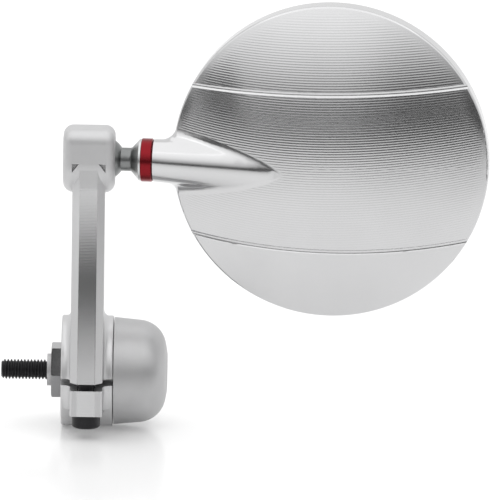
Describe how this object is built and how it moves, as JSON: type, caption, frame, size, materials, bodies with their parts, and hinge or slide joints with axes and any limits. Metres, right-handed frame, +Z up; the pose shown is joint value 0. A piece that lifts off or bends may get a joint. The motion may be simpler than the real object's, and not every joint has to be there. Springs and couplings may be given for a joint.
{
  "type": "motorcycle bar end mirror",
  "caption": "Bar end mirror: a clamp-on arm with a ball joint carries a round domed metal mirror, held by a rounded weight screwed into the end of a handlebar.",
  "frame": {"origin": "on the handlebar's axis, at the end of the nose where the stud leaves it", "axes": "+X outboard along the bar, +Z up, -Y to the front of the motorcycle, so the glass faces +Y"},
  "size_m": [0.1455, 0.0412, 0.1314],
  "materials": {
    "weight_blasted_aluminium": "bead blasted, clear anodised",
    "black_steel": "black oxide",
    "plain_steel": "zinc plated",
    "turned_steel": "polished",
    "arm_milled_aluminium": "milled and satin anodised",
    "nylon": "moulded",
    "stud_steel": "turned",
    "red_anodised": "red anodised",
    "shell_milled_aluminium": "milled with fine lines",
    "foam_tape": "matte",
    "mirror_glass": "polished"
  },
  "bodies": {
    "bar_end": {"bar_end_weight": "weight_blasted_aluminium", "mounting_screw": "black_steel", "screw_washer": "plain_steel", "lock_nut": "turned_steel"},
    "arm": {"arm": "arm_milled_aluminium", "clamp_bolt": "black_steel", "ball_seat": "nylon", "disc_spring": "plain_steel", "socket_plug": "black_steel"},
    "ball_cup": {"pressure_cup": "nylon"},
    "ball_stud": {"ball_stud": "stud_steel", "lock_ring": "red_anodised", "swivel_washer": "plain_steel", "swivel_nut": "plain_steel"},
    "mirror_head": {"mirror_shell": "shell_milled_aluminium", "glass_tape": "foam_tape", "mirror_glass": "mirror_glass"}
  },
  "joints": [
    {"name": "arm_swing", "type": "hinge", "parent": "bar_end", "child": "arm", "pos_m": [0.01215, 0, 0], "axis": [1, 0, 0], "continuous": true},
    {"name": "ball_pan", "type": "hinge", "parent": "arm", "child": "ball_cup", "pos_m": [0.01634, -0.0068, 0.0664], "axis": [0, 0, 1], "range_deg": [-13, 23]},
    {"name": "ball_tilt", "type": "hinge", "parent": "ball_cup", "child": "ball_stud", "pos_m": [0.01634, -0.0068, 0.0664], "axis": [0.0872, 0.9962, 0], "range_deg": [-18, 18]},
    {"name": "head_spin", "type": "hinge", "parent": "ball_stud", "child": "mirror_head", "pos_m": [0.01634, -0.0068, 0.0664], "axis": [0.9962, -0.0872, 0], "continuous": true}
  ]
}
